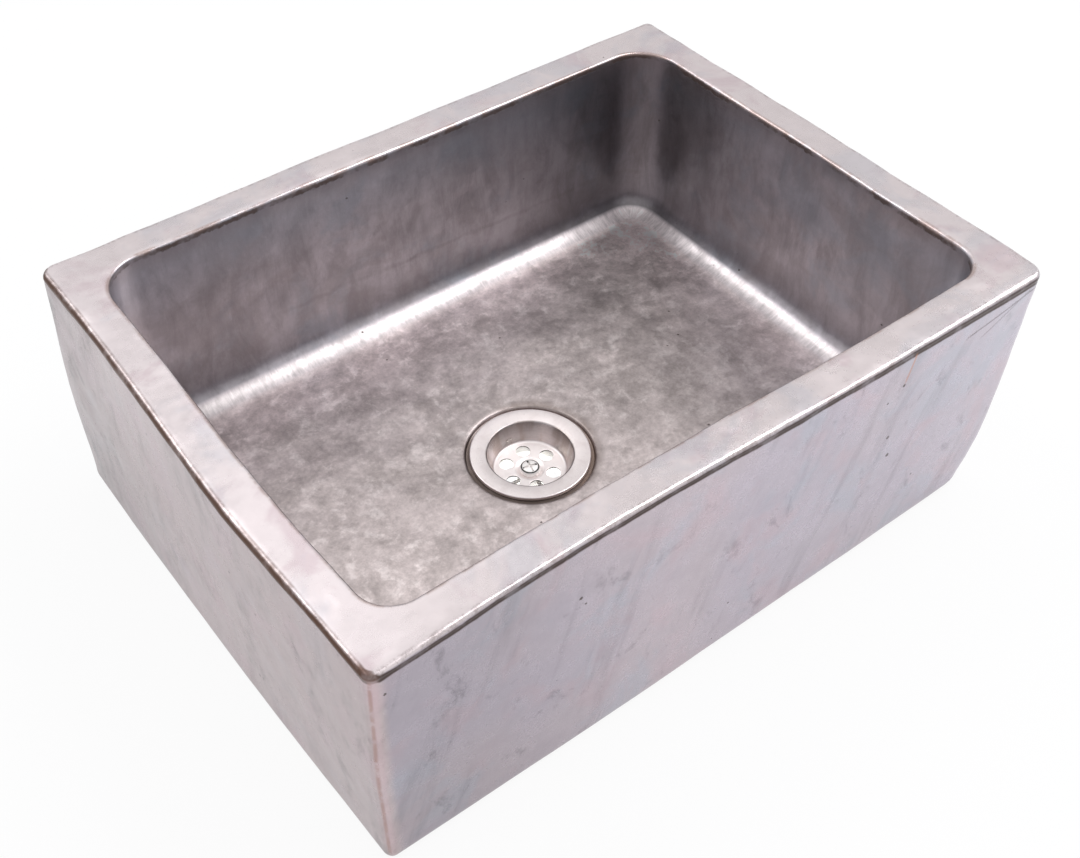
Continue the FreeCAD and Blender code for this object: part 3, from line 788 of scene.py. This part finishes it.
flange = turn_profile(
    "strainer_flange",
    (
        (flange_radius, hem_foot),
        (flange_radius, flange_top),
        (cup_top_radius, cup_top),
        (cup_floor_radius, strainer_top),
        (dimple_rim_radius, strainer_top),
        (dimple_radius, dimple_top),
        (screw_hole_radius, dimple_top),
    ),
)
for radius, height, width, parts in (
    (flange_radius, flange_top, 0.8 * MM, 4),
    (cup_top_radius, cup_top, 0.8 * MM, 6),
    (cup_floor_radius, strainer_top, 1.4 * MM, 6),
    (dimple_rim_radius, strainer_top, 0.7 * MM, 3),
    (dimple_radius, dimple_top, 0.6 * MM, 3),
):
    round_ring(flange, radius, height, width, parts)
bpy.ops.mesh.select_all(action="SELECT")
bpy.ops.mesh.normals_make_consistent(inside=False)
bpy.ops.object.mode_set(mode="OBJECT")
if max(flange.data.polygons, key=lambda face: face.area * abs(face.normal.z)).normal.z < 0:
    flange.data.flip_normals()
shape_by(flange, "gauge", "SOLIDIFY", thickness=steel_thickness, offset=-1, use_even_offset=True)

bpy.ops.object.select_all(action="DESELECT")
punches = []
for number in range(strainer_holes):
    turn = strainer_turn + number * 2 * math.pi / strainer_holes
    bpy.ops.mesh.primitive_cylinder_add(
        vertices=48, radius=strainer_hole_radius, depth=6 * MM,
        location=(
            waste_centre[0] + strainer_circle_radius * math.cos(turn),
            waste_centre[1] + strainer_circle_radius * math.sin(turn),
            strainer_top,
        ),
    )
    punches.append(bpy.context.object)
for punch in punches:
    punch.select_set(True)
bpy.context.view_layer.objects.active = punches[0]
bpy.ops.object.join()
punch = bpy.context.object
shape_by(flange, "punched", "BOOLEAN", object=punch, solver="EXACT")
bpy.data.objects.remove(punch)
shape_by(
    flange, "softened", "BEVEL", limit_method="ANGLE", angle_limit=math.radians(50), width=0.2 * MM, segments=2
)
bpy.ops.object.shade_smooth_by_angle(angle=math.radians(40))

steel = new_finish("polished_stainless", {"Metallic": 1.0})
steel_place = steel.object_place().stretched(
    (1, 1, 1), (-waste_centre[0], -waste_centre[1], 0)
)
steel_x, steel_y, steel_z = (steel_place.part(number) for number in range(3))
steel_reach = (steel_x * steel_x + steel_y * steel_y).power(0.5)
turning = steel.make(
    "ShaderNodeTexNoise", {"noise_dimensions": "2D"},
    {"Vector": steel.make("ShaderNodeCombineXYZ", {}, {0: steel_reach, 1: steel_z}), "Scale": 2600, "Detail": 3},
)
smear = steel_place.cloud(120, 4, 0.6, 0.5)
steel_colour = smear.between(0.4, 0.7).tint((0.93, 0.85, 0.845), (0.85, 0.765, 0.76))
steel_colour = (steel_place.cloud(700, 3).between(0.62, 0.75) * 0.3).tint(steel_colour, (0.45, 0.41, 0.39))
on_plate = steel_z.between(20.4 * MM, 19.4 * MM)
# The cup's wall is darkened, most towards its top, and banded brown: painted shade and painted reflection.
cup_wall_shade_mask = steel_reach.between(26.1 * MM, 25.3 * MM) * steel_z.between(19.4 * MM, 20.4 * MM)
cup_reflection_bands = steel_place.stretched((130, 130, 12)).cloud(1, 4, 0.6)
steel_colour = (cup_wall_shade_mask * cup_reflection_bands.between(0.45, 0.65) * 0.6).tint(steel_colour, (0.66, 0.53, 0.47))
shade_towards_top = steel_z.between(22 * MM, 32 * MM)
steel_colour = steel_colour.shaded(1 - cup_wall_shade_mask * (0.2 + shade_towards_top * 0.2 + turning * 0.2))
# The flange is lighter on its far side and darker on its near side: painted light and painted shade.
far_side_painted_light = steel_x * to_back_right[0] + steel_y * to_back_right[1]
steel_colour = steel_colour.shaded(far_side_painted_light.between(-30 * MM, 30 * MM, 0.87, 1.07))
# The edges of the strainer's holes are nearly black: painted shade.
hole_edge_shade = steel_z.between(strainer_top - 0.02 * MM, strainer_top - 0.08 * MM)
hole_edge_shade = hole_edge_shade * steel_reach.between(19 * MM, 18.5 * MM) * steel_reach.between(8.6 * MM, 9.2 * MM)
steel_colour = (on_plate * 0.5).tint(steel_colour, (0.97, 0.92, 0.91))
steel_colour = hole_edge_shade.tint(steel_colour, (0.012, 0.010, 0.009))
steel_colour.feed("Base Color")
(0.2 + smear * 0.12 + turning * 0.08 + on_plate * 0.2).feed("Roughness")
turning.bump(0.25, 0.05 * MM)
flange.data.materials.append(steel.material)

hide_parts("waste_flange")
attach(flange, "root")

# ---------------------------------------------------------------------------------------------------------------------
# Clamp screw and its nut
# A polished pan head screw with a cross recess. It passes through the strainer and draws up a long hexagonal brass nut
# in the hub below, which clamps the whole waste to the sink.
# ---------------------------------------------------------------------------------------------------------------------

screw = turn_profile(
    "pan_head_screw",
    (
        (2.3 * MM, 5.5 * MM),
        (2.95 * MM, 6.2 * MM),
        (2.95 * MM, 18.0 * MM),
        (5.9 * MM, 18.0 * MM),
        (6.0 * MM, 18.15 * MM),
        (6.0 * MM, 19.4 * MM),
        (5.85 * MM, 20.0 * MM),
        (5.4 * MM, 20.55 * MM),
        (4.6 * MM, 21.0 * MM),
        (3.4 * MM, 21.28 * MM),
        (1.8 * MM, 21.38 * MM),
    ),
    64,
)
bpy.ops.mesh.edge_face_add()
pick_edges(screw, lambda one, two: one.z < 5.51 * MM and two.z < 5.51 * MM)
bpy.ops.mesh.edge_face_add()
bpy.ops.mesh.select_all(action="SELECT")
bpy.ops.mesh.normals_make_consistent(inside=False)
bpy.ops.object.mode_set(mode="OBJECT")

recess_centre = (*waste_centre, 20.6 * MM)
recess_foot = (*waste_centre, 19.5 * MM)
recess_size = (10.2 * MM, 1.4 * MM, 2.2 * MM)
recess_turn = math.radians(-15)
bpy.ops.object.select_all(action="DESELECT")
bpy.ops.mesh.primitive_cube_add(size=1, location=recess_centre)
driver = bpy.context.object
driver.name = "cross_driver"
driver.scale = recess_size
driver.rotation_euler = (0, 0, recess_turn)
bpy.ops.object.transform_apply(location=True, rotation=True, scale=True)
bpy.ops.object.mode_set(mode="EDIT")
bpy.ops.mesh.select_all(action="SELECT")
bpy.ops.mesh.duplicate()
bpy.ops.transform.rotate(value=math.pi / 2, orient_axis="Z", center_override=recess_centre)
pick_points(driver, lambda spot: spot.z < 20 * MM)
bpy.ops.transform.resize(value=(0.55, 0.55, 1), center_override=recess_foot)
bpy.ops.object.mode_set(mode="OBJECT")
shape_by(screw, "recess", "BOOLEAN", object=driver, solver="EXACT", use_self=True)
bpy.data.objects.remove(driver)
bpy.ops.object.shade_smooth_by_angle(angle=math.radians(35))

chrome = new_finish("polished_screw_steel", {"Metallic": 1.0})
chrome_place = chrome.object_place()
rub = chrome_place.cloud(900, 4, 0.6)
chrome_x, chrome_y = chrome_place.part(0) - waste_centre[0], chrome_place.part(1) - waste_centre[1]
chrome_reach = (chrome_x * chrome_x + chrome_y * chrome_y).power(0.5)
chrome_z = chrome_place.part(2)
# The recess is nearly black near its ends: painted shade.
recess_end_shade = chrome_reach.between(3.2 * MM, 3.9 * MM) * chrome_reach.between(5.6 * MM, 5.2 * MM)
recess_end_shade = recess_end_shade * chrome_z.between(21.1 * MM, 20.8 * MM)
chrome_colour = rub.between(0.35, 0.7).tint((0.98, 0.96, 0.95), (0.90, 0.87, 0.86))
recess_end_shade.tint(chrome_colour, (0.02, 0.018, 0.017)).feed("Base Color")
(0.55 + rub * 0.15).feed("Roughness")
rub.bump(0.15, 0.05 * MM)
screw.data.materials.append(chrome.material)

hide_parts("clamp_screw")
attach(screw, "root")

brass = new_finish("turned_brass", {"Metallic": 1.0})
brass_place = brass.object_place()
tarnish = brass_place.cloud(260, 4, 0.65)
tarnish.between(0.35, 0.7).tint((0.76, 0.56, 0.25), (0.50, 0.34, 0.15)).feed("Base Color")
(0.28 + tarnish * 0.25).feed("Roughness")
tarnish.bump(0.2, 0.1 * MM)
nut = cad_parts["screw_insert"]
nut.data.materials.clear()
nut.data.materials.append(brass.material)

# ---------------------------------------------------------------------------------------------------------------------
# Waste body
# Moulded in white polypropylene: a flange under the sink floor, a funnel, an outlet with a pipe thread, and four webs
# that carry the hub for the nut. The thread is a single ridge wound round the outlet.
# ---------------------------------------------------------------------------------------------------------------------

thread_radius = 23.9 * MM
thread_depth = 1.3 * MM
thread_pitch = 2.309 * MM
thread_turns = 4
thread_start = 3.6 * MM
thread_end = 14.6 * MM
ridge_breadth = 1.9 * MM
ridge_root = 0.3 * MM

bpy.ops.object.select_all(action="DESELECT")
body_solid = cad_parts["waste_body"]
moulding = body_solid.copy()
moulding.data = body_solid.data.copy()
moulding.name = "moulded_waste_body"
moulding.data.name = "moulded_waste_body"
bpy.context.collection.objects.link(moulding)
moulding.parent = None
moulding.matrix_world = Matrix.Identity(4)
moulding.select_set(True)
bpy.context.view_layer.objects.active = moulding
bpy.ops.object.mode_set(mode="EDIT")
bpy.ops.mesh.select_all(action="SELECT")
bpy.ops.mesh.remove_doubles(threshold=1e-6)


def on_thread(spot):
    reach = math.hypot(spot.x - waste_centre[0], spot.y - waste_centre[1])
    return abs(reach - thread_radius) < 2e-5 and spot.z < thread_end


pick_points(moulding, on_thread)
shrink = (thread_radius - thread_depth) / thread_radius
bpy.ops.transform.resize(value=(shrink, shrink, 1), center_override=(*waste_centre, 8 * MM))
bpy.ops.mesh.select_all(action="SELECT")
bpy.ops.mesh.dissolve_limited(angle_limit=math.radians(0.5))
bpy.ops.object.mode_set(mode="OBJECT")
shape_by(
    moulding, "eased", "BEVEL", limit_method="ANGLE", angle_limit=math.radians(40), width=0.3 * MM, segments=2
)
bpy.ops.object.shade_smooth_by_angle(angle=math.radians(35))

bpy.ops.object.select_all(action="DESELECT")
bpy.ops.mesh.primitive_plane_add(size=1, location=(thread_radius - thread_depth / 2, 0, 0))
ridge = bpy.context.object
ridge.name = "outlet_thread_ridge"
ridge.data.name = "outlet_thread_ridge"
ridge.rotation_euler = (math.pi / 2, 0, 0)
ridge.scale = (thread_depth + ridge_root, ridge_breadth, 1)
bpy.ops.object.transform_apply(location=True, rotation=True, scale=True)
bpy.ops.object.mode_set(mode="EDIT")
pick_points(ridge, lambda spot: spot.x > thread_radius - 0.5 * thread_depth)
bpy.ops.transform.resize(value=(1, 1, 0.2), center_override=(thread_radius, 0, 0))
bpy.ops.object.mode_set(mode="OBJECT")
shape_by(
    ridge, "winding", "SCREW", axis="Z", angle=2 * math.pi, screw_offset=thread_pitch, iterations=thread_turns,
    steps=72, render_steps=72, use_merge_vertices=False,
)
ridge.location = (*waste_centre, thread_start)
bpy.ops.object.transform_apply(location=True, rotation=True, scale=True)
bpy.ops.object.mode_set(mode="EDIT")
bpy.ops.mesh.select_all(action="SELECT")
bpy.ops.mesh.remove_doubles(threshold=1e-6)
bpy.ops.mesh.select_mode(type="EDGE")
bpy.ops.mesh.select_all(action="DESELECT")
bpy.ops.mesh.select_non_manifold()
bpy.ops.mesh.fill_holes(sides=6)
bpy.ops.mesh.select_all(action="SELECT")
bpy.ops.mesh.normals_make_consistent(inside=False)
bpy.ops.object.mode_set(mode="OBJECT")
bpy.ops.object.shade_smooth_by_angle(angle=math.radians(30))

plastic = new_finish("white_polypropylene", {"Specular IOR Level": 0.45})
plastic_place = plastic.object_place()
dull = plastic_place.cloud(90, 4, 0.6)
dull.between(0.35, 0.75).tint((0.88, 0.88, 0.865), (0.80, 0.79, 0.76)).feed("Base Color")
(0.36 + dull * 0.2).feed("Roughness")
plastic_place.cloud(1400, 2).bump(0.25, 0.05 * MM)
for piece in (moulding, ridge):
    piece.data.materials.clear()
    piece.data.materials.append(plastic.material)
    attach(piece, "root")
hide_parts("waste_body")

# ---------------------------------------------------------------------------------------------------------------------
# Gaskets
# Two flat rings of black rubber, one under the steel flange and one between the sink's underside and the waste body.
# ---------------------------------------------------------------------------------------------------------------------

rubber = new_finish("black_rubber", {"Specular IOR Level": 0.3})
rubber_place = rubber.object_place()
bloom = rubber_place.cloud(160, 4, 0.6)
bloom.between(0.4, 0.75).tint((0.022, 0.022, 0.023), (0.055, 0.053, 0.05)).feed("Base Color")
(0.62 + bloom * 0.25).feed("Roughness")
bloom.bump(0.3, 0.1 * MM)
for node in ("flange_gasket", "body_gasket"):
    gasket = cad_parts[node]
    gasket.data.materials.clear()
    gasket.data.materials.append(rubber.material)

# ---------------------------------------------------------------------------------------------------------------------
# Floor and studio light
# A plain white table and a white surround, with three soft boxes overhead and one at the right. A small lamp under the
# outlet shows the light of the table through the strainer's holes.
# ---------------------------------------------------------------------------------------------------------------------

bpy.ops.object.select_all(action="DESELECT")
bpy.ops.mesh.primitive_plane_add(size=12, location=(0, 0, 0))
table = bpy.context.object
table.name = "table"
white = new_finish(
    "white_table", {"Base Color": (0.86, 0.86, 0.88, 1), "Roughness": 0.9, "Specular IOR Level": 0.1}
)
camera_ray = white.make("ShaderNodeLightPath", {}, {}, "Is Camera Ray")
glossy_ray = white.make("ShaderNodeLightPath", {}, {}, "Is Glossy Ray")
white_nodes = white.material.node_tree.nodes
matt = Finish(white.material, white_nodes["Principled BSDF"].outputs["BSDF"])
glow = white.make("ShaderNodeEmission", {}, {"Color": (1, 1, 1, 1), "Strength": 1})
blend = white.make("ShaderNodeMixShader", {}, {0: glossy_ray * 0.3 + camera_ray * 0.9, 1: matt, 2: glow})
white.material.node_tree.links.new(blend.socket, white_nodes["Material Output"].inputs["Surface"])
table.data.materials.append(white.material)

world = bpy.data.worlds.new("surround")
bpy.context.scene.world = world
world.use_nodes = True
sky = world.node_tree.nodes["Background"]
sky.inputs["Color"].default_value = (1, 1, 1, 1)
sky.inputs["Strength"].default_value = 0.8


def hang_light(name, place, aim, width, height, watts):
    """A soft rectangular light that faces a point."""
    bpy.ops.object.light_add(type="AREA", location=place)
    light = bpy.context.object
    light.name = name
    light.data.shape = "RECTANGLE"
    light.data.size = width
    light.data.size_y = height
    light.data.energy = watts
    light.rotation_euler = (Vector(aim) - Vector(place)).to_track_quat("-Z", "Y").to_euler()


hang_light("overhead_right", (0.74, -0.22, 1.45), (0, 0, 0), 0.75, 0.6, 6)
hang_light("overhead_back", (-0.5, 0.95, 1.45), (0, 0, 0), 0.55, 0.9, 5.5)
hang_light("overhead_middle", (0.4, 0.92, 1.45), (0, 0, 0), 0.5, 0.7, 0.5)
hang_light("right", (1.45, -0.45, 1.15), (0.1, 0, 0.1), 1.0, 0.8, 6)
hang_light("below_the_outlet", (*waste_centre, 0.8 * MM), (*waste_centre, 1), 36 * MM, 36 * MM, 0.018)
